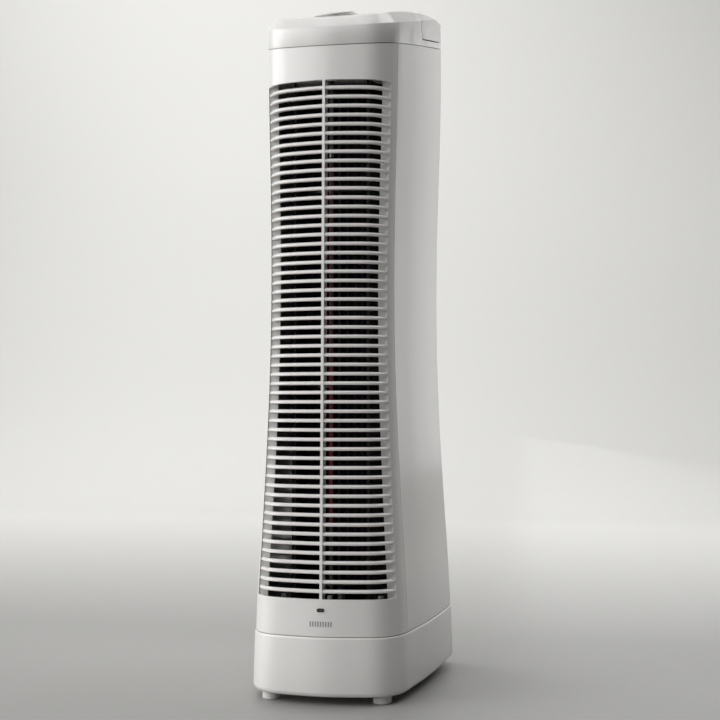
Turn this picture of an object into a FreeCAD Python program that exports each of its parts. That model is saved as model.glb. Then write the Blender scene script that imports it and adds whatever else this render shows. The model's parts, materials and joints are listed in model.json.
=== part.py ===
"""Tower air purifier: slatted front, rear intake, lift-out filter and a cross-flow fan.

Millimetres. Z is up, the front faces -Y, and the origin is on the floor under the middle.
"""
import FreeCAD, Part
import math
import os

V = FreeCAD.Vector

# ---- driving dimensions -------------------------------------------------------------
BASE_BOTTOM = 8.3          # underside of the base skirt; the feet fill the rest
BASE_SEAM = 65.7           # joint between base skirt and body
BODY_TOP = 770.0           # lofts run past the cap and are trimmed back
WALL = 3.0                 # casing wall
SEAM = 0.8                 # visible gap between casing parts
CLEAR = 0.05               # assembly clearance inside one body

# Half width of the body against its width at the foot of the grille, by height.
WAIST = [(0, 1.042), (60, 1.025), (100, 1.008), (196, 0.939), (295, 0.880), (395, 0.857),
         (495, 0.874), (596, 0.911), (690, 0.924), (800, 0.930)]
# Y of the middle of the front, by height: the front leans back towards the top.
APEX = [(0, -125.6), (60, -124.4), (104, -123.6), (357, -118.1), (610, -114.1), (800, -112.5)]
# Half outline of the front: part of the half width, and distance behind the apex.
FRONT = [(0.0, 0.0), (0.2, 0.9), (0.4, 3.0), (0.6, 5.7), (0.75, 9.2), (0.87, 15.0), (0.95, 22.0), (1.0, 28.0)]
# Side outline from the front crease (0) to the rear corner (1), and half width there.
SIDE = [(0.0, 70.8), (0.03, 73.2), (0.07, 75.0), (0.17, 77.6), (0.30, 81.0), (0.49, 84.7), (0.70, 87.4),
        (1.0, 89.6)]
SIDE_END_Y = 115.5         # where the side turns into the rounded rear corner
CORNER = [(0.0, 0.0), (1.9, 5.2), (7.0, 7.6)]   # inwards and backwards from the side's end
REAR = [(1.0, 7.6), (0.5, 9.5), (0.0, 10.0)]    # part of the width, and how far behind the side's end

REAR_INSET_MAX = 5.2       # deepest inset that the rear corners can take
FRONT_SEAM_Y = -76.7       # front panel meets the side shells
REAR_SEAM_Y = 114.5        # side shells meet the rear grille

# Grille
SLOT_COUNT = 56
SLOT_PITCH = 9.2
SLOT_FIRST = 610.7         # height of the top slot's middle
SLOT_GAP = 5.9
SLOT_INSET = 1.2           # slot ends this far inside the crease
SLAT_PROFILE = [(0.7, -1.0), (0.7, 0.2), (2.0, 1.7), (4.8, 1.7), (4.8, -1.7), (1.4, -1.7)]
RIB_WIDTH = 2.7
RIB_DEPTH = 13.0
LEDGE_BACK = 27.4          # flat frame seen behind the slot ends, behind the apex
LEDGE_THICK = 2.4
LEDGE_MARGIN = 10.4        # its opening, inside the crease
LEDGE_ENDS = 4.0           # its opening, past the middle of the last slat pitch

# Cap
SEAM_SLOPE = 0.222         # cap seam rises towards the rear
SEAM_FRONT = 648.1
BEVEL_SLOPE = 0.292
BEVEL_FRONT = 667.0
BEVEL_INSET = 10.5
BEVEL_RISE = 12.5
DECK_ARC = [(-114.0, 675.0), (20.0, 714.0), (124.0, 727.5)]   # crowned top, (Y, Z) on the middle
DECK_WALL = 2.8
HANDLE_Y = 10.7            # vertical seam between cap and cartridge handle
HANDLE_RISE = 8.0          # handle's lower edge above the cap seam
HANDLE_GAP = 1.3
GRIP_HALF = 34.0           # finger recess at the rear, under the handle
GRIP_HEIGHT = 13.0
REAR_FACE_Y = 122.0

# Inside
DECK_LOW = 76.0
DECK_HIGH = 625.0
DECK_THICK = 3.0
FAN_Y = -35.0
FAN_R = 36.0
FAN_LOW = 108.0
FAN_HIGH = 610.0
BLADES = 26
SHAFT_R = 4.0
BAY = (69.0, 26.0, 102.0)  # half width, front and rear of the filter bay
BAY_WALL = 2.5
CART_GAP = 0.8
FRAME_WALL = 2.5
ARM_X = 57.0
CART_LOW = DECK_LOW + DECK_THICK + 2.5 + 0.6
MOTOR_MOUNTS = [(-36.0, -36.0), (36.0, -36.0), (-36.0, 36.0), (36.0, 36.0)]   # from the fan's axis
RAIL_Y = -80.5             # ioniser rail, behind the grille
LEAD_R = 0.7

# Controls
DIAL_Y = -60.1
DIAL_R = 19.0
DIAL_TOP = 3.4             # the dial stands this far above the deck
BEZEL_R = 22.5
BEZEL_TOP = 1.0
BUTTON_X = 35.0
BOARD_Z = -16.0            # control board, below the deck
BOARD_POSTS = [(-24.0, -10.0), (-24.0, 10.0), (44.0, -10.0), (44.0, 10.0)]
INDICATOR_Z = 91.4         # filter light under the grille
LENS = (3.9, 1.9)          # half width and half height of its window

FEET = [(-56.0, -98.0), (56.0, -98.0), (-66.0, 90.0), (66.0, 90.0)]
FOOT_R = 9.2
PLATE_TOP = 12.6
GLAND_X = -45.0            # where the mains lead would enter
GLAND_Z = 28.0
GLAND_R = 6.0


# ---- helpers ------------------------------------------------------------------------
def smooth(knots, x):
    """Smooth curve through (x, value) pairs, with slopes taken from the neighbours."""
    last = len(knots) - 1
    i = 0
    while i < last - 1 and x > knots[i + 1][0]:
        i += 1

    def slope(j):
        lo, hi = max(j - 1, 0), min(j + 1, last)
        return (knots[hi][1] - knots[lo][1]) / (knots[hi][0] - knots[lo][0])

    (x0, y0), (x1, y1) = knots[i], knots[i + 1]
    span = x1 - x0
    u = (x - x0) / span
    a = slope(i) * span
    b = slope(i + 1) * span
    return (y0 + u * a + u * u * (3 * (y1 - y0) - 2 * a - b)
            + u ** 3 * (2 * (y0 - y1) + a + b))


def box(x0, x1, y0, y1, z0, z1):
    return Part.makeBox(x1 - x0, y1 - y0, z1 - z0, V(x0, y0, z0))


def cyl(r, x, y, z0, z1):
    return Part.makeCylinder(r, z1 - z0, V(x, y, z0))


def tube(r_out, r_in, x, y, z0, z1):
    return cyl(r_out, x, y, z0, z1).cut(cyl(r_in, x, y, z0 - 1, z1 + 1))


def fuse(shapes):
    return shapes[0].multiFuse(shapes[1:]).removeSplitter()


def mirror(shape):
    return shape.mirror(V(0, 0, 0), V(1, 0, 0))


def only_solids(shape):
    solids = shape.Solids
    return solids[0] if len(solids) == 1 else Part.makeCompound(solids)


def prism_y(points, y0, y1):
    """Closed outline of (x, z) points, extruded along Y."""
    wire = Part.makePolygon([V(x, y0, z) for x, z in points + points[:1]])
    return Part.Face(wire).extrude(V(0, y1 - y0, 0))


def prism_x(points, x0, x1):
    """Closed outline of (y, z) points, extruded along X."""
    wire = Part.makePolygon([V(x0, y, z) for y, z in points + points[:1]])
    return Part.Face(wire).extrude(V(x1 - x0, 0, 0))


def sheet(points, thick, z0, z1):
    """Curved upright wall through (x, y) points."""
    normals = []
    for i in range(len(points)):
        a = points[max(i - 1, 0)]
        b = points[min(i + 1, len(points) - 1)]
        dx, dy = b[0] - a[0], b[1] - a[1]
        size = math.hypot(dx, dy)
        normals.append((-dy / size * thick, dx / size * thick))
    near = [V(x, y, z0) for x, y in points]
    far = [V(x + n[0], y + n[1], z0) for (x, y), n in zip(points, normals)]
    edges = []
    for row in (near, far):
        curve = Part.BSplineCurve()
        curve.interpolate(row)
        edges.append(curve.toShape())
    edges.append(Part.makeLine(near[0], far[0]))
    edges.append(Part.makeLine(near[-1], far[-1]))
    wire = Part.Wire(Part.__sortEdges__(edges))
    return Part.Face(wire).extrude(V(0, 0, z1 - z0))


# ---- casing outline -----------------------------------------------------------------
def half_width(z):
    """Half width at the front crease."""
    return SIDE[0][1] * smooth(WAIST, z)


def outline(level):
    """Right half of the casing outline, from the apex round to the middle of the rear.

    level gives the height at each Y, so a level may be tilted. Returns four runs.
    """
    def place(make):
        z = level(0.0)
        for _ in range(5):
            x, y = make(z)
            z = level(y)
        return (x, y, z)

    def front_point(part, sag):
        return place(lambda z: (part * half_width(z), smooth(APEX, z) + sag))

    def side_point(u, w):
        def make(z):
            crease = smooth(APEX, z) + FRONT[-1][1]
            return w * smooth(WAIST, z), crease + u * (SIDE_END_Y - crease)
        return place(make)

    def corner_point(dx, dy):
        return place(lambda z: (SIDE[-1][1] * smooth(WAIST, z) - dx, SIDE_END_Y + dy))

    def rear_point(part, dy):
        return place(lambda z: (part * (SIDE[-1][1] * smooth(WAIST, z) - CORNER[-1][0]), SIDE_END_Y + dy))

    return [[front_point(*p) for p in FRONT],
            [side_point(*p) for p in SIDE],
            [corner_point(*p) for p in CORNER],
            [rear_point(*p) for p in REAR]]


def local_inset(inset, y):
    """A deep inset eases off towards the rear, where the corners are tight."""
    if inset <= REAR_INSET_MAX:
        return inset
    share = min(max((60.0 - y) / 80.0, 0.0), 1.0)
    return REAR_INSET_MAX + (inset - REAR_INSET_MAX) * share


def ring(inset, level):
    """Closed wire of the casing outline, moved inwards by inset, on the given level."""
    front, side, corner, rear = outline(level)
    left = [[(-x, y, z) for x, y, z in reversed(run)] for run in (front, side, corner, rear)]
    runs = [left[0][:-1] + front, side, corner, rear + left[3][1:], left[2], left[1]]
    loop = []
    for run in runs:
        loop += run[:-1]
    count = len(loop)
    moved = []
    for i in range(count):
        ax, ay, _ = loop[i - 1]
        bx, by, _ = loop[i]
        cx, cy, _ = loop[(i + 1) % count]
        u = V(bx - ax, by - ay, 0).normalize()
        w = V(cx - bx, cy - by, 0).normalize()
        n = V(-(u.y + w.y), u.x + w.x, 0)
        n.normalize()
        reach = local_inset(inset, by) / max(n.dot(V(-u.y, u.x, 0)), 0.5)
        x, y = bx + n.x * reach, by + n.y * reach
        moved.append(V(x, y, level(y)))
    edges = []
    start = 0
    for run in runs:
        pts = [moved[(start + j) % count] for j in range(len(run))]
        ref = [V(x, y, 0) for x, y, _ in run]
        chord = [0.0]
        for a, b in zip(ref, ref[1:]):
            chord.append(chord[-1] + a.distanceToPoint(b))
        curve = Part.BSplineCurve()
        curve.interpolate(Points=pts, Parameters=[c / chord[-1] for c in chord])
        edges.append(curve.toShape())
        start += len(run) - 1
    return Part.Wire(edges)


def flat(z):
    return lambda y: z


def tilted(z_front, slope):
    return lambda y: z_front + slope * (y - DECK_ARC[0][0])


BODY_CACHE = {}


def body(inset):
    """Solid bounded by the casing outline moved inwards by inset, base to past the cap."""
    if inset not in BODY_CACHE:
        levels = [52, 80, 120, 170, 230, 300, 370, 440, 520, 600, 690, BODY_TOP]
        BODY_CACHE[inset] = Part.makeLoft([ring(inset, flat(z)) for z in levels], True, False)
    return BODY_CACHE[inset]


def shell(outer, inner):
    return body(outer).cut(body(inner))


def above(level_z, slope, x=150.0):
    """Everything above a plane that rises towards the rear."""
    at = tilted(level_z, slope)
    return prism_x([(-160, at(-160)), (160, at(160)), (160, 900), (-160, 900)], -x, x)


def deck_sky(drop=0.0):
    """Everything above the crowned top of the cap, lowered by drop."""
    arc = Part.Arc(*[V(-150, y, z - drop) for y, z in DECK_ARC]).toShape()
    first, last = arc.Vertexes[0].Point, arc.Vertexes[-1].Point
    a = first + V(0, -40, -40 * 0.25)
    b = last + V(0, 40, 40 * 0.13)
    top_b, top_a = V(-150, b.y, 900), V(-150, a.y, 900)
    wire = Part.Wire([Part.makeLine(a, first), arc, Part.makeLine(last, b), Part.makeLine(b, top_b),
                      Part.makeLine(top_b, top_a), Part.makeLine(top_a, a)])
    return Part.Face(wire).extrude(V(300, 0, 0))


def deck_height(y):
    """Height of the crowned top at Y."""
    (y0, z0), (y1, z1), (y2, z2) = DECK_ARC
    a = (z0 * (y - y1) * (y - y2)) / ((y0 - y1) * (y0 - y2))
    b = (z1 * (y - y0) * (y - y2)) / ((y1 - y0) * (y1 - y2))
    c = (z2 * (y - y0) * (y - y1)) / ((y2 - y0) * (y2 - y1))
    return a + b + c


# ---- casing -------------------------------------------------------------------------
def window_points(margin, low, high):
    """Waisted outline of the grille, margin inside the crease."""
    count = 10
    heights = [low + (high - low) * i / count for i in range(count + 1)]
    right = [(half_width(z) - margin, z) for z in heights]
    return right + [(-x, z) for x, z in reversed(right)]


def slot_heights():
    return [SLOT_FIRST - SLOT_PITCH * i for i in range(SLOT_COUNT)]


def slot_limits():
    """Lower edge of the lowest slot and upper edge of the top one."""
    return SLOT_FIRST - SLOT_PITCH * (SLOT_COUNT - 1) - SLOT_GAP / 2, SLOT_FIRST + SLOT_GAP / 2


def slat(z):
    """Curved bar between two slots, chamfered in front, its ends let into the frame."""
    edges = [ring(inset, flat(z + dz)).Edges[0] for inset, dz in SLAT_PROFILE]
    faces = [Part.makeRuledSurface(a, b) for a, b in zip(edges, edges[1:] + edges[:1])]
    for end in (0, -1):
        corners = [edge.Vertexes[end].Point for edge in edges]
        faces += [Part.Face(Part.makePolygon([corners[0], corners[i], corners[i + 1], corners[0]]))
                  for i in range(1, len(corners) - 1)]
    bar = Part.Solid(Part.makeShell(faces))
    back = smooth(APEX, z) + LEDGE_BACK - CLEAR
    return bar.cut(box(-140, 140, back, 0, z - 5, z + 5))


def leaning_block(x0, x1, front, back, low, high):
    """Block whose front and rear follow the lean of the front; front and back from the apex."""
    count = 12
    heights = [low + (high - low) * i / count for i in range(count + 1)]
    points = [(smooth(APEX, z) + front, z) for z in heights]
    points += [(smooth(APEX, z) + back, z) for z in reversed(heights)]
    return prism_x(points, x0, x1)


def indicator_oval(half_x, half_z, y0, y1):
    """Upright oval peg along Y where the filter light sits."""
    r = half_z
    parts = [box(-half_x + r, half_x - r, y0, y1, INDICATOR_Z - r, INDICATOR_Z + r)]
    for side in (-1, 1):
        centre = V(side * (half_x - r), y0, INDICATOR_Z)
        parts.append(Part.makeCylinder(r, y1 - y0, centre, V(0, 1, 0)))
    return fuse(parts)


def body_zone(y0, y1, z0=BASE_SEAM + SEAM / 2):
    """Region of the casing between two Y planes, from the base seam to the cap seam."""
    return box(-140, 140, y0, y1, z0, 800).cut(above(SEAM_FRONT - SEAM / 2, SEAM_SLOPE))


def front_panel():
    """One moulding: plain frame, slats and the middle rib."""
    low, high = slot_limits()
    zone = body_zone(-140, FRONT_SEAM_Y - SEAM / 2)
    plain = shell(0, WALL).common(zone)
    window = prism_y(window_points(SLOT_INSET, low, high), -140, -60)
    plain = plain.cut(window)
    slats = [slat(z - SLOT_PITCH / 2) for z in slot_heights()[:-1]]
    rib = leaning_block(-RIB_WIDTH / 2, RIB_WIDTH / 2, 0.2, RIB_DEPTH, low - 1, high + 1)
    hole = indicator_oval(LENS[0] + 0.8, LENS[1] + 0.8, -140, -100)
    return only_solids(plain.multiFuse([rib] + slats).cut(hole))


def side_shell(side):
    """Side casing with a lip behind each neighbour's edge; side is 1 for right, -1 for left."""
    zone = body_zone(FRONT_SEAM_Y + SEAM / 2, REAR_SEAM_Y - SEAM / 2)
    skin = shell(0, WALL).common(zone)
    z0 = BASE_SEAM + SEAM / 2 + 8.0
    lip = shell(WALL + 0.15, 5.2)
    root = shell(WALL - 0.3, 5.2)
    top = above(SEAM_FRONT - 12.0, SEAM_SLOPE)
    bounds = [root.common(box(-140, 140, y0, y1, z0, 800)) for y0, y1 in ((-72.0, -66.0), (104.0, 109.0))]
    bounds += [lip.common(box(-140, 140, y0, y1, z0, 800)) for y0, y1 in ((-83.5, -71.5), (108.5, 117.5))]
    half = box(0, 140, -140, 140, 0, 800) if side > 0 else box(-140, 0, -140, 140, 0, 800)
    whole = fuse([skin] + [b.cut(top) for b in bounds]).common(half)
    for x, y, z in rear_screw_places():
        if x * side > 0:
            whole = whole.fuse(rear_boss(x, z)).cut(screw_bore(x, y, z))
    return only_solids(whole)


def rear_screw_places():
    return [(side * x, REAR_FACE_Y, z) for side in (-1, 1) for x, z in ((72.0, 96.0), (68.0, 640.0))]


def rear_boss(x, z):
    """Screw boss reaching inwards from the side shell to meet the rear grille."""
    x0, x1 = sorted((x - math.copysign(4.5, x), math.copysign(140, x)))
    return box(x0, x1, 104.0, 118.5, z - 4.5, z + 4.5).common(body(WALL + 0.15))


def screw_bore(x, y, z):
    return Part.makeCylinder(1.55, 30, V(x, y - 20, z), V(0, 1, 0))


def rear_grille():
    """Intake panel that closes the rear, with ribbed slots."""
    zone = body_zone(REAR_SEAM_Y + SEAM / 2, 160)
    panel = shell(0, WALL).common(zone)
    cutters = []
    for i in range(36):
        z = 106.0 + 14.0 * i
        reach = 76.0 * smooth(WAIST, z)
        step = reach / 2
        for j in range(4):
            x0 = -reach + j * step + 2.0
            cutters.append(box(x0, x0 + step - 4.0, 100, 160, z, z + 7.0))
    panel = panel.cut(Part.makeCompound(cutters))
    for x, y, z in rear_screw_places():
        panel = panel.cut(screw_bore(x, y, z))
    return only_solids(panel)


def rear_screws():
    out = []
    for x, y, z in rear_screw_places():
        shank = Part.makeCylinder(1.5, 14, V(x, 110.5, z), V(0, 1, 0))
        head = Part.makeCylinder(3.2, 2.0, V(x, 124.5, z), V(0, 1, 0))
        out.append(shank.fuse(head).removeSplitter())
    return Part.makeCompound(out)


def base_skirt():
    """Open ring under the body, a little proud of it, with a lip inside the body."""
    levels = [(2.2, BASE_BOTTOM), (0.4, BASE_BOTTOM + 1.2), (-1.0, BASE_BOTTOM + 4.0),
              (-1.0, 36.0), (-1.0, BASE_SEAM - 2.0), (-0.4, BASE_SEAM - SEAM / 2)]
    outer = Part.makeLoft([ring(i, flat(z)) for i, z in levels], True, True)
    inner = Part.makeLoft([ring(2.6, flat(z)) for z in (0, 30, 80)], True, True)
    skirt = outer.cut(inner)
    lip = shell(WALL + 0.15, 5.2).common(box(-140, 140, -140, 140, BASE_SEAM - 8, BASE_SEAM + 6))
    root = Part.makeLoft([ring(2.4, flat(z)) for z in (56, 62)], True, True).cut(body(5.2))
    skirt = skirt.multiFuse([lip, root])
    for x, y in base_screw_places():
        skirt = skirt.fuse(skirt_boss(x, y))
        skirt = skirt.cut(cyl(1.55, x, y, 0, 40))
    skirt = skirt.cut(Part.makeCylinder(GLAND_R, 30, V(GLAND_X, 105, GLAND_Z), V(0, 1, 0)))
    return only_solids(skirt)


def base_screw_places():
    return [(-40.0, -104.0), (40.0, -104.0), (-74.0, 40.0), (74.0, 40.0), (-30.0, 112.0), (30.0, 112.0)]


def skirt_boss(x, y):
    """Pillar that joins the skirt wall above the base plate."""
    if abs(x) > 60:
        arm = box(min(x, math.copysign(140, x)), max(x, math.copysign(140, x)), y - 4, y + 4, PLATE_TOP, 30)
    else:
        arm = box(x - 4, x + 4, min(y, math.copysign(140, y)), max(y, math.copysign(140, y)), PLATE_TOP, 30)
    block = fuse([arm, cyl(4.0, x, y, PLATE_TOP, 30)])
    inside = Part.makeLoft([ring(1.5, flat(z)) for z in (5, 50)], True, True)
    return block.common(inside)


def base_plate():
    """Floor of the base, let in flush inside the skirt."""
    plate = Part.makeLoft([ring(2.7, flat(z)) for z in (BASE_BOTTOM + 1.3, PLATE_TOP)], True, True)
    for x, y in base_screw_places():
        plate = plate.cut(cyl(1.55, x, y, 0, 20))
    return only_solids(plate)


def base_screws():
    out = []
    for x, y in base_screw_places():
        out.append(cyl(1.5, x, y, 8.6, 24.0).fuse(cyl(3.2, x, y, 7.6, 9.6)).removeSplitter())
    return Part.makeCompound(out)


def feet():
    out = []
    for x, y in FEET:
        foot = cyl(FOOT_R, x, y, 0, BASE_BOTTOM + 1.3)
        rims = [e for e in foot.Edges if abs(e.BoundBox.ZMax) < 0.01]
        out.append(foot.makeFillet(1.2, rims))
    return Part.makeCompound(out)


def cord_gland():
    """Strain relief where the mains cord would enter."""
    inner_flange = Part.makeCylinder(GLAND_R + 2.0, 2.5, V(GLAND_X, 119.6, GLAND_Z), V(0, 1, 0))
    neck = Part.makeCylinder(GLAND_R - CLEAR, 6.7, V(GLAND_X, 119.8, GLAND_Z), V(0, 1, 0))
    bore = Part.makeCylinder(3.0, 40, V(GLAND_X, 100, GLAND_Z), V(0, 1, 0))
    return only_solids(inner_flange.fuse(neck).removeSplitter().cut(bore))


def cap_block(inset, drop):
    """Cap outline with bevel and crowned top, as a solid from below the seam."""
    low = tilted(SEAM_FRONT - 20.0, SEAM_SLOPE)
    bevel = tilted(BEVEL_FRONT - drop, BEVEL_SLOPE)
    top = tilted(BEVEL_FRONT - drop + BEVEL_RISE, BEVEL_SLOPE)
    lower = Part.makeLoft([ring(inset, low), ring(inset, bevel)], True, True)
    upper = Part.makeLoft([ring(inset, bevel), ring(inset + BEVEL_INSET, top)], True, True)
    return lower.fuse(upper).removeSplitter().cut(deck_sky(drop))


def handle_zone(gap):
    """Region of the cap that lifts out with the cartridge, grown forwards by gap."""
    at = tilted(SEAM_FRONT + HANDLE_RISE, SEAM_SLOPE)
    y0 = HANDLE_Y - gap
    step = 4.5
    points = [(y0, at(y0) + 6.0), (y0 + step, at(y0) + 6.0), (y0 + step, at(y0 + step) - gap),
              (160, at(160) - gap), (160, 900), (y0, 900)]
    return prism_x(points, -150, 150)


def grip_recess():
    """Finger space through the rear of the cap, shared by its rim and the handle."""
    z = tilted(SEAM_FRONT + 1.6, SEAM_SLOPE)(REAR_FACE_Y)
    return box(-GRIP_HALF, GRIP_HALF, 104.0, 150.0, z, z + GRIP_HEIGHT)


def top_cap():
    """Fixed part of the cap: control deck in front and the rim that carries it round."""
    skin = cap_block(0, 0).cut(cap_block(DECK_WALL, DECK_WALL))
    cap = skin.common(above(SEAM_FRONT + SEAM / 2, SEAM_SLOPE))
    lip = shell(WALL + 0.15, 5.2).common(above(SEAM_FRONT - 7.0, SEAM_SLOPE))
    lip = lip.cut(above(SEAM_FRONT + 4.0, SEAM_SLOPE))
    root = shell(WALL - 0.4, 5.2).common(above(SEAM_FRONT + 1.0, SEAM_SLOPE))
    root = root.cut(above(SEAM_FRONT + 4.0, SEAM_SLOPE))
    cap = cap.cut(handle_zone(HANDLE_GAP)).multiFuse([lip, root])
    cap = cap.cut(grip_recess())
    bosses = [on_deck(cyl(3.0, x, y, BOARD_Z + 1.6, -1.5)) for x, y in BOARD_POSTS]
    holes = [on_deck(cyl(12.4, 0, 0, -10, 10)), on_deck(cyl(5.4, BUTTON_X, 0, -10, 10))]
    return only_solids(cap.multiFuse(bosses).cut(Part.makeCompound(holes)))


def cartridge_handle():
    """Rear of the cap, which is the handle of the filter cartridge."""
    skin = cap_block(0, 0).cut(cap_block(DECK_WALL, DECK_WALL))
    shell_part = skin.common(handle_zone(0))
    at = tilted(SEAM_FRONT + HANDLE_RISE + 6.0, SEAM_SLOPE)
    inner = cap_block(DECK_WALL - 0.4, DECK_WALL - 0.4)
    front_wall = inner.common(box(-140, 140, HANDLE_Y, HANDLE_Y + 2.5, at(HANDLE_Y), 900))
    bridge = inner.common(box(-140, 140, 60.0, 64.0, at(60.0) - 4, 900))
    return only_solids(fuse([shell_part, front_wall, bridge]).cut(grip_recess()))


# ---- controls -----------------------------------------------------------------------


def on_deck(shape):
    """Place a shape built about the dial's axis on the sloping deck."""
    slope = (deck_height(DIAL_Y + 1) - deck_height(DIAL_Y - 1)) / 2
    place = FreeCAD.Placement(V(0, DIAL_Y, deck_height(DIAL_Y)),
                              FreeCAD.Rotation(V(1, 0, 0), math.degrees(math.atan(slope))))
    return shape.transformed(place.toMatrix())


def dial_bezel():
    """Thin sloping ring under the dial, with a collar through the deck."""
    cone = Part.makeCone(BEZEL_R, BEZEL_R - 1.5, BEZEL_TOP - 0.3, V(0, 0, 0.3))
    collar = cyl(12.2, 0, 0, -4.0, 0.6)
    bore = cyl(4.2, 0, 0, -1, 5).fuse(cyl(9.0, 0, 0, -5, 0.3))
    return on_deck(only_solids(cone.fuse(collar).removeSplitter().cut(bore)))


def speed_dial():
    """Flat dial with gripping flutes, a finger dimple, a pointer slot and its spindle."""
    knob = cyl(DIAL_R, 0, 0, 1.8, DIAL_TOP)
    rims = [e for e in knob.Edges if abs(e.BoundBox.ZMin - DIAL_TOP) < 0.01 and len(e.Vertexes) == 1]
    knob = knob.makeFillet(1.1, rims)
    flutes = []
    for i in range(36):
        angle = math.radians(10 * i + 5)
        flutes.append(cyl(0.7, (DIAL_R + 0.4) * math.cos(angle), (DIAL_R + 0.4) * math.sin(angle), 1, 9))
    knob = knob.cut(Part.makeCompound(flutes))
    knob = knob.cut(box(-0.8, 0.8, -DIAL_R - 1, -14.0, DIAL_TOP - 0.6, DIAL_TOP + 1))
    knob = knob.cut(Part.makeSphere(30.0, V(0, -7.0, DIAL_TOP + 29.0)))
    spindle = cyl(DIAL_R - 5.0, 0, 0, 1.4, 2.0).fuse(cyl(3.0, 0, 0, -12.0, 2.0))
    return on_deck(only_solids(knob.fuse(spindle).removeSplitter()))


def rotary_switch():
    case = box(-10, 10, -10, 10, -14.4, -6.0)
    return on_deck(case.cut(cyl(3.05, 0, 0, -12.6, 0)))


def reset_button():
    stem = cyl(5.0, BUTTON_X, 0, -6.2, 0.2)
    flange = cyl(6.4, BUTTON_X, 0, -4.8, -3.6)
    return on_deck(stem.fuse(flange).removeSplitter())


def tact_switch():
    case = box(BUTTON_X - 3, BUTTON_X + 3, -3, 3, -14.4, -10.6)
    return on_deck(case.fuse(cyl(1.75, BUTTON_X, 0, -11.0, -8.3)).removeSplitter())


def control_board():
    board = box(-30, 50, -14, 14, BOARD_Z, BOARD_Z + 1.6)
    return on_deck(board)


def indicator_lens():
    """Smoked window of the filter light, a light guide back to its board."""
    guide = indicator_oval(LENS[0], LENS[1], -126.5, -117.0)
    return only_solids(guide.common(body(-0.2)))


def indicator_rim():
    outer = indicator_oval(LENS[0] + 0.75, LENS[1] + 0.75, -130, -119.5)
    ring_part = outer.cut(indicator_oval(LENS[0] + 0.05, LENS[1] + 0.05, -131, -100))
    return only_solids(ring_part.common(body(-0.35)))


def indicator_board():
    board = box(-10, 10, -117.0, -115.4, INDICATOR_Z - 7, INDICATOR_Z + 7)
    posts = [Part.makeCylinder(1.5, 8, V(x, -117.6, INDICATOR_Z + 5), V(0, -1, 0)) for x in (-8, 8)]
    posts = [p.common(body(WALL + CLEAR)) for p in posts]
    links = [Part.makeCylinder(1.5, 1.2, V(x, -118.0, INDICATOR_Z + 5), V(0, 1, 0)) for x in (-8, 8)]
    return only_solids(fuse([board] + posts + links))


def filter_mark():
    """Generic printed sign under the light: a row of upright strokes, like pleats."""
    film = body(-0.12).cut(body(0.0))
    bars = [box(2.6 * i - 0.6, 2.6 * i + 0.6, -140, -100, 75.6, 80.6) for i in range(-4, 5)]
    return Part.makeCompound(film.common(Part.makeCompound(bars)).Solids)


# ---- inside -------------------------------------------------------------------------
def grille_carrier():
    """Flat light frame that the slats end on, open in the middle, with a foot and a head."""
    low, high = DECK_LOW + DECK_THICK, DECK_HIGH
    ledge = leaning_block(-90, 90, LEDGE_BACK, LEDGE_BACK + LEDGE_THICK, low, high)
    open_low = SLOT_FIRST - SLOT_PITCH * (SLOT_COUNT - 0.5) - LEDGE_ENDS
    open_high = SLOT_FIRST + SLOT_PITCH / 2 + LEDGE_ENDS
    low_slot, high_slot = slot_limits()
    outer = prism_y(window_points(SLOT_INSET + 0.15, low_slot, high_slot), -140, -60)
    outer = outer.common(box(-140, 140, -140, 0, low_slot + 0.15, high_slot - 0.15))
    reach = outer.common(ledge)
    opening = prism_y(window_points(LEDGE_MARGIN, open_low, open_high), -140, -60)
    foot = leaning_block(-50, 50, LEDGE_BACK, LEDGE_BACK + 5.5, low, low + 2.5)
    head = leaning_block(-50, 50, LEDGE_BACK, LEDGE_BACK + 5.5, high - 2.5, high)
    inner = fuse([ledge, foot, head]).common(body(WALL + CLEAR))
    return only_solids(inner.fuse(reach).removeSplitter().cut(opening))


def lower_deck():
    """Bulkhead over the motor, with the three posts seen through the lowest slot."""
    deck = body(5.3).common(box(-140, 140, -140, 140, DECK_LOW, DECK_LOW + DECK_THICK))
    deck = deck.cut(box(-14, 14, -140, -112.0, 0, 200))
    deck = deck.cut(cyl(12, 0, FAN_Y, 0, 200))
    posts = [cyl(2.6, x, y, DECK_LOW + 1, 100.0) for x, y in ((-50.0, -76.0), (0.0, -84.0), (50.0, -76.0))]
    return only_solids(fuse([deck] + posts))


def upper_deck():
    """Bulkhead that holds the fan's top bearing; the cartridge passes through it."""
    half, y0, y1 = BAY
    deck = body(5.3).common(box(-140, 140, -140, 140, DECK_HIGH, DECK_HIGH + DECK_THICK))
    deck = deck.cut(box(-half + BAY_WALL, half - BAY_WALL, y0 + BAY_WALL, y1 - BAY_WALL, 0, 900))
    return only_solids(deck.cut(cyl(11.0 + CLEAR, 0, FAN_Y, 0, 900)))


def filter_bay():
    """Open-topped box that guides the cartridge, with a window front and rear."""
    half, y0, y1 = BAY
    z0, z1 = DECK_LOW + DECK_THICK, DECK_HIGH
    bay = box(-half, half, y0, y1, z0, z1)
    bay = bay.cut(box(-half + BAY_WALL, half - BAY_WALL, y0 + BAY_WALL, y1 - BAY_WALL, z0 + 2.5, z1 + 1))
    window = box(-half + 10, half - 10, y0 - 5, y1 + 5, z0 + 16, z1 - 14)
    bars = [box(-half, half, y, y + BAY_WALL, z, z + 4) for z in (230.0, 380.0, 500.0)
            for y in (y0, y1 - BAY_WALL)]
    return only_solids(fuse([bay.cut(window)] + bars))


def cartridge_space():
    half, y0, y1 = BAY
    gap = BAY_WALL + CART_GAP
    return half - gap, y0 + gap, y1 - gap


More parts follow.
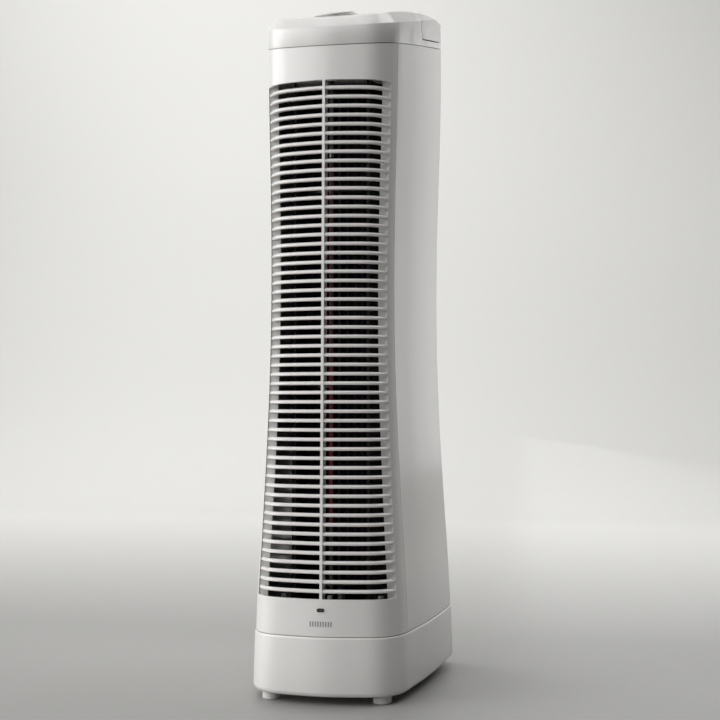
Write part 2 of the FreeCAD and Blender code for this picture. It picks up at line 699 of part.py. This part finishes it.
def cartridge_frame():
    """Frame of the filter with the two arms that carry the handle."""
    half, y0, y1 = cartridge_space()
    top = DECK_HIGH - 4.0
    frame = box(-half, half, y0, y1, CART_LOW, top)
    frame = frame.cut(box(-half + FRAME_WALL, half - FRAME_WALL, y0 + FRAME_WALL, y1 - FRAME_WALL,
                          CART_LOW + FRAME_WALL, top - FRAME_WALL))
    window = box(-half + 7, half - 7, y0 - 5, y1 + 5, CART_LOW + 9, top - 9)
    frame = frame.cut(window)
    bars = [box(-half, half, y, y + FRAME_WALL, z, z + 3)
            for z in (250.0, 420.0) for y in (y0, y1 - FRAME_WALL)]
    inner = cap_block(DECK_WALL + CLEAR, DECK_WALL + CLEAR)
    arms = [box(ARM_X - 3, ARM_X, 46.0, 59.5, top - 1, 900).common(inner.fuse(box(0, 100, 0, 120, 600, 690)))]
    arms.append(mirror(arms[0]))
    return only_solids(fuse([frame] + bars + arms))


def filter_pleats():
    """Folded paper, standing upright across the frame."""
    half, y0, y1 = cartridge_space()
    x_end = half - FRAME_WALL - CLEAR
    folds = 30
    step = 2 * x_end / folds
    thick = 1.0
    near, far = y0 + FRAME_WALL + 1.0, y1 - 14.0
    line = [(-x_end + step * i, near if i % 2 == 0 else far - thick) for i in range(folds + 1)]
    back = [(x, y + thick * 1.6) for x, y in reversed(line)]
    z0, z1 = CART_LOW + FRAME_WALL + CLEAR, DECK_HIGH - 4.0 - FRAME_WALL - CLEAR
    wire = Part.makePolygon([V(x, y, z0) for x, y in line + back + line[:1]])
    return Part.Face(wire).extrude(V(0, 0, z1 - z0))


def carbon_prefilter():
    half, y0, y1 = cartridge_space()
    x_end = half - FRAME_WALL - CLEAR
    z0, z1 = CART_LOW + FRAME_WALL + CLEAR, DECK_HIGH - 4.0 - FRAME_WALL - CLEAR
    return box(-x_end, x_end, y1 - 11.0, y1 - FRAME_WALL - CLEAR, z0, z1)


def polar(r, degrees):
    """Point at an angle about the fan's axis, 0 to the right and 90 to the rear."""
    a = math.radians(degrees)
    return (r * math.cos(a), FAN_Y + r * math.sin(a))


def scroll_wall():
    """Spiral wall that leads the air round to the front."""
    points = [polar(FAN_R + grow, a) for a, grow in
              ((78, 13.0), (95, 4.0), (120, 3.0), (150, 4.5), (180, 7.0), (205, 11.0), (222, 17.0))]
    return sheet(points, -2.0, DECK_LOW + DECK_THICK, DECK_HIGH)


def fan_tongue():
    """Cut-off edge on the other side of the fan."""
    path = ((15, 17.0), (2, 9.0), (-14, 4.0), (-30, 5.5), (-42, 13.0))
    points = [polar(FAN_R + grow, a) for a, grow in path]
    return sheet(points, -2.0, DECK_LOW + DECK_THICK, DECK_HIGH)


def impeller():
    """Cross-flow rotor: end discs, middle discs and curved blades."""
    discs = []
    for i in range(6):
        z = FAN_LOW + i * (FAN_HIGH - FAN_LOW - 2.0) / 5
        hub = 0.0 if i in (0, 5) else FAN_R - 12.0
        disc = cyl(FAN_R, 0, FAN_Y, z, z + 2.0)
        discs.append(disc.cut(cyl(hub, 0, FAN_Y, z - 1, z + 3)) if hub else disc)
    blades = []
    for i in range(BLADES):
        turn = 360.0 * i / BLADES
        inner, middle, outer = [V(*polar(r, turn + lead), FAN_LOW) for r, lead in
                                ((FAN_R - 10.5, -8.0), (FAN_R - 5.0, 0.0), (FAN_R - 0.6, 3.0))]
        face = [inner, middle, outer]
        back = [p + V(0.8 * math.cos(math.radians(turn + 80)), 0.8 * math.sin(math.radians(turn + 80)), 0)
                for p in face]
        edges = [Part.Arc(*face).toShape(), Part.makeLine(face[2], back[2]),
                 Part.Arc(*reversed(back)).toShape(), Part.makeLine(back[0], face[0])]
        blades.append(Part.Face(Part.Wire(edges)).extrude(V(0, 0, FAN_HIGH - FAN_LOW)))
    hubs = [cyl(9, 0, FAN_Y, FAN_LOW - 6, FAN_LOW + 1), cyl(9, 0, FAN_Y, FAN_HIGH - 1, FAN_HIGH + 4)]
    rotor = discs[0].multiFuse(discs[1:] + blades + hubs)
    rotor = rotor.cut(cyl(SHAFT_R + CLEAR, 0, FAN_Y, FAN_LOW - 10, FAN_LOW + 0.5))
    return only_solids(rotor.fuse(cyl(3.0, 0, FAN_Y, FAN_HIGH, DECK_HIGH + 9)).removeSplitter())


def motor_shaft():
    return cyl(SHAFT_R, 0, FAN_Y, 26.0, FAN_LOW + 0.4)


def motor():
    """Can motor with a boss that carries the shaft's upper bearing."""
    can = cyl(34.0, 0, FAN_Y, 20.0, 64.0)
    rims = [e for e in can.Edges if len(e.Vertexes) == 1]
    can = can.makeFillet(3.0, rims)
    boss = cyl(11.0, 0, FAN_Y, 63.0, 71.0)
    return only_solids(can.fuse(boss).removeSplitter().cut(cyl(SHAFT_R + 0.06, 0, FAN_Y, 24.0, 80.0)))


def motor_bracket():
    plate = box(-42, 42, FAN_Y - 42, FAN_Y + 42, 18.0, 20.0)
    return plate


def motor_mounts():
    return Part.makeCompound([cyl(5.0, x, FAN_Y + y, PLATE_TOP, 18.0) for x, y in MOTOR_MOUNTS])


def upper_bearing():
    return tube(8.0, 3.06, 0, FAN_Y, DECK_HIGH - 2.0, DECK_HIGH + 7.0)


def bearing_holder():
    """Rubber ring between the bearing and the upper deck."""
    holder = tube(11.0, 8.0 + CLEAR, 0, FAN_Y, DECK_HIGH - 2.0, DECK_HIGH + 5.0)
    flange = tube(14.0, 8.0 + CLEAR, 0, FAN_Y, DECK_HIGH + DECK_THICK, DECK_HIGH + 5.0)
    return only_solids(holder.fuse(flange).removeSplitter())


def power_board():
    board = box(-50, 20, 30, 90, 20.0, 21.6)
    posts = [cyl(2.5, x, y, PLATE_TOP, 20.5) for x in (-45, 15) for y in (35, 85)]
    return fuse([board] + posts)


def motor_capacitor():
    return cyl(11.0, -30.0, 60.0, 21.6, 58.0)


def ioniser_module():
    return box(-5, 15, 42, 78, 21.6, 44.0)


def ioniser_rail():
    """Slim upright strip between the decks, in front of the fan."""
    return box(-1.8, 1.8, RAIL_Y, RAIL_Y + 3.5, DECK_LOW + DECK_THICK, DECK_HIGH)


def ioniser_lead():
    """Two insulated leads up the rail, one of them shorter."""
    runs = [cyl(LEAD_R, x, RAIL_Y - LEAD_R, 172.0, top) for x, top in ((-0.7, 542.0), (1.4, 330.0))]
    return Part.makeCompound(runs)


def emitter_pin():
    """Needle that charges the air, fed by the lead."""
    return Part.makeCone(LEAD_R, 0.1, 9.0, V(-0.7, RAIL_Y - LEAD_R, 542.0))


# ---- export -------------------------------------------------------------------------
def build():
    return {
        "base_skirt": base_skirt(),
        "base_plate": base_plate(),
        "base_screws": base_screws(),
        "feet": feet(),
        "cord_gland": cord_gland(),
        "front_panel": front_panel(),
        "side_shell_right": side_shell(1),
        "side_shell_left": side_shell(-1),
        "rear_grille": rear_grille(),
        "rear_screws": rear_screws(),
        "top_cap": top_cap(),
        "cartridge_handle": cartridge_handle(),
        "cartridge_frame": cartridge_frame(),
        "filter_pleats": filter_pleats(),
        "carbon_prefilter": carbon_prefilter(),
        "dial_bezel": dial_bezel(),
        "speed_dial": speed_dial(),
        "rotary_switch": rotary_switch(),
        "reset_button": reset_button(),
        "tact_switch": tact_switch(),
        "control_board": control_board(),
        "indicator_lens": indicator_lens(),
        "indicator_rim": indicator_rim(),
        "indicator_board": indicator_board(),
        "filter_mark": filter_mark(),
        "grille_carrier": grille_carrier(),
        "lower_deck": lower_deck(),
        "upper_deck": upper_deck(),
        "filter_bay": filter_bay(),
        "scroll_wall": scroll_wall(),
        "fan_tongue": fan_tongue(),
        "impeller": impeller(),
        "motor_shaft": motor_shaft(),
        "motor": motor(),
        "motor_bracket": motor_bracket(),
        "motor_mounts": motor_mounts(),
        "upper_bearing": upper_bearing(),
        "bearing_holder": bearing_holder(),
        "power_board": power_board(),
        "motor_capacitor": motor_capacitor(),
        "ioniser_module": ioniser_module(),
        "ioniser_rail": ioniser_rail(),
        "ioniser_lead": ioniser_lead(),
        "emitter_pin": emitter_pin(),
    }


os.makedirs("parts", exist_ok=True)
for name, shape in build().items():
    shape.exportStep("parts/" + name + ".step")
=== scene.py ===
"""Looks of the tower air purifier: procedural materials, studio light and the camera."""

import json
import math

import bpy
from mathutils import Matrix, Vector


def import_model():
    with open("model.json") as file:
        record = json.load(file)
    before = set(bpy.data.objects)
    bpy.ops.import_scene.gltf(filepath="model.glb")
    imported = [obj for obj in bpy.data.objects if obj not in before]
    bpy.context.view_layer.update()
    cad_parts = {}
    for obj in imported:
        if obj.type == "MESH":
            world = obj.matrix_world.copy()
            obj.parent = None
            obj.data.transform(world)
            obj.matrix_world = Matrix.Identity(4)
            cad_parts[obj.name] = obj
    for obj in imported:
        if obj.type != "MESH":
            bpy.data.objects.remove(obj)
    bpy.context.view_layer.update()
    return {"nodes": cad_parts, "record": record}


# Camera, metres and degrees, in the part's frame; lens and sensor in millimetres.
CAMERA_AT = Vector((0.3146, -1.4066, 0.2899))
CAMERA_YAW = 12.12
CAMERA_PITCH = 2.77
CAMERA_LENS = 67.54
CAMERA_SENSOR = 36.0
CAMERA_SHIFT_Y = -0.0278

# Studio lights: name, azimuth, elevation, watts, size in metres.
LIGHTS = (
    ("window", -75, 15, 46, (2.4, 2.2)),
    ("window_near", -50, 15, 12.5, (1.4, 1.8)),
    ("window_front", -25, 15, 8, (1.4, 1.8)),
    ("above", 0, 88, 11, (1.4, 1.8)),
    ("above_front", 0, 45, 12, (1.4, 1.8)),
    ("above_rear_right", 125, 50, 20, (1.4, 1.8)),
    ("rear_glow", 166, 14, 5, (1.4, 1.8)),
)
GLOSS_ONLY = "rear_glow"                # shows only in glossy surfaces, as a sheen on the side
LIGHT_CENTRE = Vector((0, 0, 0.45))     # the lights stand round this point
LIGHT_DISTANCE = 2.4
LIGHT_AIM = Vector((0, 0, 0.38))

# One more light, aimed at the wall.
WASH_AT = Vector((-1.5, 0.9, 3.0))
WASH_AIM = Vector((-1.5, 3.2, 0.6))
WASH_SIZE = (2.0, 0.8)
WASH_POWER = 58
WORLD_STRENGTH = 0.02

# Stage, metres: a floor, a rounded sweep and a wall behind the object.
STAGE_HALF_WIDTH = 6.0
STAGE_FRONT_Y = -5.0
STAGE_WALL_Y = 3.2
STAGE_WALL_TOP = 5.0
SWEEP_RADIUS = 1.2
SWEEP_STEPS = 16
FLOOR_GREY = (0.31, 0.307, 0.30)
WALL_GREY = (0.82, 0.815, 0.79)
FADE_Y = (0.3, 1.9)                     # where the grey begins to pale, and where it is palest
FLOOR_ROUGHNESS = 0.42

# Parts whose hard edges are rounded: width in metres, and the least angle in degrees.
SOFT_EDGED = ("base_skirt", "top_cap", "cartridge_handle", "feet")
EDGE_ROUND = 0.0007
EDGE_ANGLE = 18
WELD_DISTANCE = 0.00001

# Moulded plastics: colour, its drift, roughness range, grain scale, grain strength.
PLASTICS = {
    "gloss_white": ((0.80, 0.785, 0.765), 0.03, (0.28, 0.36), 900, 0.02),
    "matte_white": ((0.74, 0.73, 0.71), 0.05, (0.45, 0.6), 1400, 0.25),
    "grey_plastic": ((0.46, 0.455, 0.445), 0.06, (0.4, 0.55), 1400, 0.2),
    "black_plastic": ((0.016, 0.016, 0.018), 0.2, (0.22, 0.4), 1200, 0.15),
    "smoked_lens": ((0.012, 0.012, 0.014), 0.1, (0.04, 0.09), 500, 0.0),
    "grey_ink": ((0.30, 0.30, 0.31), 0.1, (0.35, 0.5), 2000, 0.05),
    "foot_rubber": ((0.70, 0.69, 0.67), 0.08, (0.6, 0.75), 1500, 0.3),
    "foot_rubber_black": ((0.02, 0.02, 0.02), 0.2, (0.7, 0.85), 1500, 0.4),
    "red_insulation": ((0.22, 0.008, 0.015), 0.15, (0.3, 0.4), 800, 0.05),
}
# Clear coat on some of them: weight, roughness.
COATS = {
    "gloss_white": (0.35, 0.14),
    "smoked_lens": (1.0, 0.03),
}
# Metals: colour, roughness range, stretch of the surface lines along X, Y and Z.
METALS = {
    "zinc_steel": ((0.62, 0.62, 0.60), (0.25, 0.42), (1, 1, 0.2)),
    "motor_case": ((0.30, 0.31, 0.32), (0.35, 0.5), (0.3, 0.3, 3)),
    "bronze_bush": ((0.62, 0.40, 0.20), (0.35, 0.5), (1, 1, 1)),
}


# ---- node helpers -------------------------------------------------------------------
def new_material(name):
    """Empty Principled material and its node tree."""
    mat = bpy.data.materials.new(name)
    mat.use_nodes = True
    tree = mat.node_tree
    tree.nodes.clear()
    out = tree.nodes.new("ShaderNodeOutputMaterial")
    shader = tree.nodes.new("ShaderNodeBsdfPrincipled")
    tree.links.new(shader.outputs[0], out.inputs[0])
    return mat, tree, shader


def noise(tree, scale, detail=3.0, stretch=(1, 1, 1)):
    """Noise in the object's own space, stretched along its axes."""
    coords = tree.nodes.new("ShaderNodeTexCoord")
    mapping = tree.nodes.new("ShaderNodeMapping")
    mapping.inputs["Scale"].default_value = stretch
    node = tree.nodes.new("ShaderNodeTexNoise")
    node.inputs["Scale"].default_value = scale
    node.inputs["Detail"].default_value = detail
    tree.links.new(coords.outputs["Object"], mapping.inputs["Vector"])
    tree.links.new(mapping.outputs[0], node.inputs["Vector"])
    return node


def ramp(tree, source, low, high, at=(0.3, 0.7)):
    """Colour ramp between two colours, driven by a 0 to 1 value."""
    node = tree.nodes.new("ShaderNodeValToRGB")
    node.color_ramp.elements[0].position = at[0]
    node.color_ramp.elements[0].color = (*low, 1)
    node.color_ramp.elements[1].position = at[1]
    node.color_ramp.elements[1].color = (*high, 1)
    tree.links.new(source, node.inputs[0])
    return node


def spread(tree, source, low, high):
    """Maps a 0 to 1 value onto low to high."""
    node = tree.nodes.new("ShaderNodeMapRange")
    node.inputs["To Min"].default_value = low
    node.inputs["To Max"].default_value = high
    tree.links.new(source, node.inputs["Value"])
    return node


def bump(tree, shader, source, strength, distance):
    """Surface relief, distance metres deep."""
    node = tree.nodes.new("ShaderNodeBump")
    node.inputs["Strength"].default_value = strength
    node.inputs["Distance"].default_value = distance
    tree.links.new(source, node.inputs["Height"])
    tree.links.new(node.outputs[0], shader.inputs["Normal"])


def plastic(name, colour, drift, rough, grain_scale, grain):
    """Moulded plastic: slight colour drift, uneven gloss and a fine surface grain."""
    mat, tree, shader = new_material(name)
    shade = noise(tree, scale=9.0, detail=4.0)
    dark = tuple(c * (1 - drift) for c in colour)
    tint = ramp(tree, shade.outputs[0], dark, colour)
    tree.links.new(tint.outputs[0], shader.inputs["Base Color"])
    gloss = noise(tree, scale=60.0, detail=5.0)
    tree.links.new(spread(tree, gloss.outputs[0], *rough).outputs[0], shader.inputs["Roughness"])
    fine = noise(tree, scale=grain_scale, detail=2.0)
    bump(tree, shader, fine.outputs[0], strength=grain, distance=0.0002)
    if name in COATS:
        weight, coat_rough = COATS[name]
        shader.inputs["Coat Weight"].default_value = weight
        shader.inputs["Coat Roughness"].default_value = coat_rough
    return mat


def metal(name, colour, rough, stretch):
    """Drawn or turned metal with fine lines."""
    mat, tree, shader = new_material(name)
    lines = noise(tree, scale=220.0, detail=4.0, stretch=stretch)
    dark = tuple(c * 0.8 for c in colour)
    tint = ramp(tree, lines.outputs[0], dark, colour)
    tree.links.new(tint.outputs[0], shader.inputs["Base Color"])
    tree.links.new(spread(tree, lines.outputs[0], *rough).outputs[0], shader.inputs["Roughness"])
    bump(tree, shader, lines.outputs[0], strength=0.15, distance=0.0001)
    shader.inputs["Metallic"].default_value = 1.0
    return mat


def foam():
    """Open-cell carbon foam."""
    mat, tree, shader = new_material("carbon_foam")
    coords = tree.nodes.new("ShaderNodeTexCoord")
    cells = tree.nodes.new("ShaderNodeTexVoronoi")
    cells.inputs["Scale"].default_value = 500.0
    tree.links.new(coords.outputs["Object"], cells.inputs["Vector"])
    tint = ramp(tree, cells.outputs[0], (0.01, 0.01, 0.01), (0.07, 0.07, 0.068), at=(0.1, 0.6))
    tree.links.new(tint.outputs[0], shader.inputs["Base Color"])
    bump(tree, shader, cells.outputs[0], strength=0.9, distance=0.001)
    shader.inputs["Roughness"].default_value = 0.95
    return mat


def paper():
    """Filter paper with fibres."""
    mat, tree, shader = new_material("filter_paper")
    fibres = noise(tree, scale=300.0, detail=6.0, stretch=(1, 1, 0.3))
    tint = ramp(tree, fibres.outputs[0], (0.78, 0.77, 0.73), (0.93, 0.92, 0.89))
    tree.links.new(tint.outputs[0], shader.inputs["Base Color"])
    bump(tree, shader, fibres.outputs[0], strength=0.5, distance=0.0004)
    shader.inputs["Roughness"].default_value = 0.9
    return mat


def circuit_board():
    """Green solder mask with faint tracks."""
    mat, tree, shader = new_material("circuit_board")
    coords = tree.nodes.new("ShaderNodeTexCoord")
    tracks = tree.nodes.new("ShaderNodeTexBrick")
    tracks.inputs["Scale"].default_value = 90.0
    tracks.inputs["Color1"].default_value = (0.02, 0.16, 0.07, 1)
    tracks.inputs["Color2"].default_value = (0.03, 0.20, 0.09, 1)
    tracks.inputs["Mortar"].default_value = (0.10, 0.34, 0.16, 1)
    tree.links.new(coords.outputs["Object"], tracks.inputs["Vector"])
    tree.links.new(tracks.outputs[0], shader.inputs["Base Color"])
    shader.inputs["Roughness"].default_value = 0.35
    return mat


def make_materials():
    """One material for each slot in the record."""
    materials = {name: plastic(name, *settings) for name, settings in PLASTICS.items()}
    for name, settings in METALS.items():
        materials[name] = metal(name, *settings)
    materials["circuit_board"] = circuit_board()
    materials["filter_paper"] = paper()
    materials["carbon_foam"] = foam()
    return materials


def soften(obj):
    """Rounds the hard edges of a moulding a little, so that they catch the light."""
    weld = obj.modifiers.new("weld", "WELD")
    weld.merge_threshold = WELD_DISTANCE
    bevel = obj.modifiers.new("edge", "BEVEL")
    bevel.width = EDGE_ROUND
    bevel.segments = 2
    bevel.limit_method = "ANGLE"
    bevel.angle_limit = math.radians(EDGE_ANGLE)
    bevel.harden_normals = True


def dress(frame, materials):
    """Gives each CAD node the material of its slot, and softens the edges of the casing."""
    slots = {s["node"]: s["material_slot"] for s in frame["record"]["subparts"]}
    for name, obj in frame["nodes"].items():
        obj.data.materials.clear()
        obj.data.materials.append(materials[slots[name]])
    for name in SOFT_EDGED:
        soften(frame["nodes"][name])


# ---- stage --------------------------------------------------------------------------
def floor_material():
    """Satin grey floor that pales into the backdrop behind the object."""
    mat, tree, shader = new_material("stage_floor")
    coords = tree.nodes.new("ShaderNodeTexCoord")
    split = tree.nodes.new("ShaderNodeSeparateXYZ")
    tree.links.new(coords.outputs["Object"], split.inputs[0])
    depth = spread(tree, split.outputs["Y"], 0.0, 1.0)
    depth.inputs["From Min"].default_value = FADE_Y[0]
    depth.inputs["From Max"].default_value = FADE_Y[1]
    tint = ramp(tree, depth.outputs[0], FLOOR_GREY, WALL_GREY, at=(0.0, 1.0))
    tree.links.new(tint.outputs[0], shader.inputs["Base Color"])
    shader.inputs["Roughness"].default_value = FLOOR_ROUGHNESS
    return mat


def make_floor():
    """Pale floor that sweeps up into a wall far behind."""
    sweep_y = STAGE_WALL_Y - SWEEP_RADIUS
    profile = [(STAGE_FRONT_Y, 0.0), (sweep_y, 0.0)]
    for i in range(1, SWEEP_STEPS + 1):
        angle = math.pi / 2 * i / SWEEP_STEPS
        profile.append((sweep_y + SWEEP_RADIUS * math.sin(angle), SWEEP_RADIUS * (1 - math.cos(angle))))
    profile.append((STAGE_WALL_Y, STAGE_WALL_TOP))
    verts = [(x, y, z) for y, z in profile for x in (-STAGE_HALF_WIDTH, STAGE_HALF_WIDTH)]
    faces = [(2 * i, 2 * i + 1, 2 * i + 3, 2 * i + 2) for i in range(len(profile) - 1)]
    mesh = bpy.data.meshes.new("stage_floor")
    mesh.from_pydata(verts, [], faces)
    mesh.shade_smooth()
    mesh.materials.append(floor_material())
    floor = bpy.data.objects.new("stage_floor", mesh)
    bpy.context.scene.collection.objects.link(floor)


def area_light(name, at, aim, size, power):
    """Rectangular light at one point, facing another; the camera doesn't see it."""
    light = bpy.data.lights.new(name, "AREA")
    light.shape = "RECTANGLE"
    light.size, light.size_y = size
    light.energy = power
    obj = bpy.data.objects.new(name, light)
    bpy.context.scene.collection.objects.link(obj)
    obj.visible_camera = False
    obj.location = at
    obj.rotation_euler = (aim - at).to_track_quat("-Z", "Y").to_euler()
    return obj


def studio_light(name, azimuth, elevation, power, size):
    """Soft light facing the object; azimuth runs from the front (0) round to the right (90)."""
    a = math.radians(azimuth)
    e = math.radians(elevation)
    away = Vector((math.sin(a) * math.cos(e), -math.cos(a) * math.cos(e), math.sin(e)))
    return area_light(name, LIGHT_CENTRE + LIGHT_DISTANCE * away, LIGHT_AIM, size, power)


def make_lights():
    """Window light from the left, weaker light from above and behind, and a lit backdrop."""
    for settings in LIGHTS:
        light = studio_light(*settings)
        light.visible_diffuse = light.name != GLOSS_ONLY
    wash = area_light("backdrop", WASH_AT, WASH_AIM, WASH_SIZE, WASH_POWER)
    wash.visible_glossy = False
    world = bpy.data.worlds.new("studio")
    world.use_nodes = True
    background = world.node_tree.nodes["Background"]
    background.inputs[0].default_value = (1, 1, 1, 1)
    background.inputs[1].default_value = WORLD_STRENGTH
    bpy.context.scene.world = world
    bpy.context.scene.view_settings.view_transform = "Standard"


def make_camera():
    """Low three-quarter view from the front right."""
    data = bpy.data.cameras.new("camera")
    data.sensor_width = CAMERA_SENSOR
    data.lens = CAMERA_LENS
    data.shift_y = CAMERA_SHIFT_Y
    camera = bpy.data.objects.new("camera", data)
    bpy.context.scene.collection.objects.link(camera)
    camera.location = CAMERA_AT
    camera.rotation_euler = (math.radians(90 + CAMERA_PITCH), 0, math.radians(CAMERA_YAW))
    bpy.context.scene.camera = camera


def main():
    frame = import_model()
    materials = make_materials()
    dress(frame, materials)
    make_floor()
    make_lights()
    make_camera()


main()
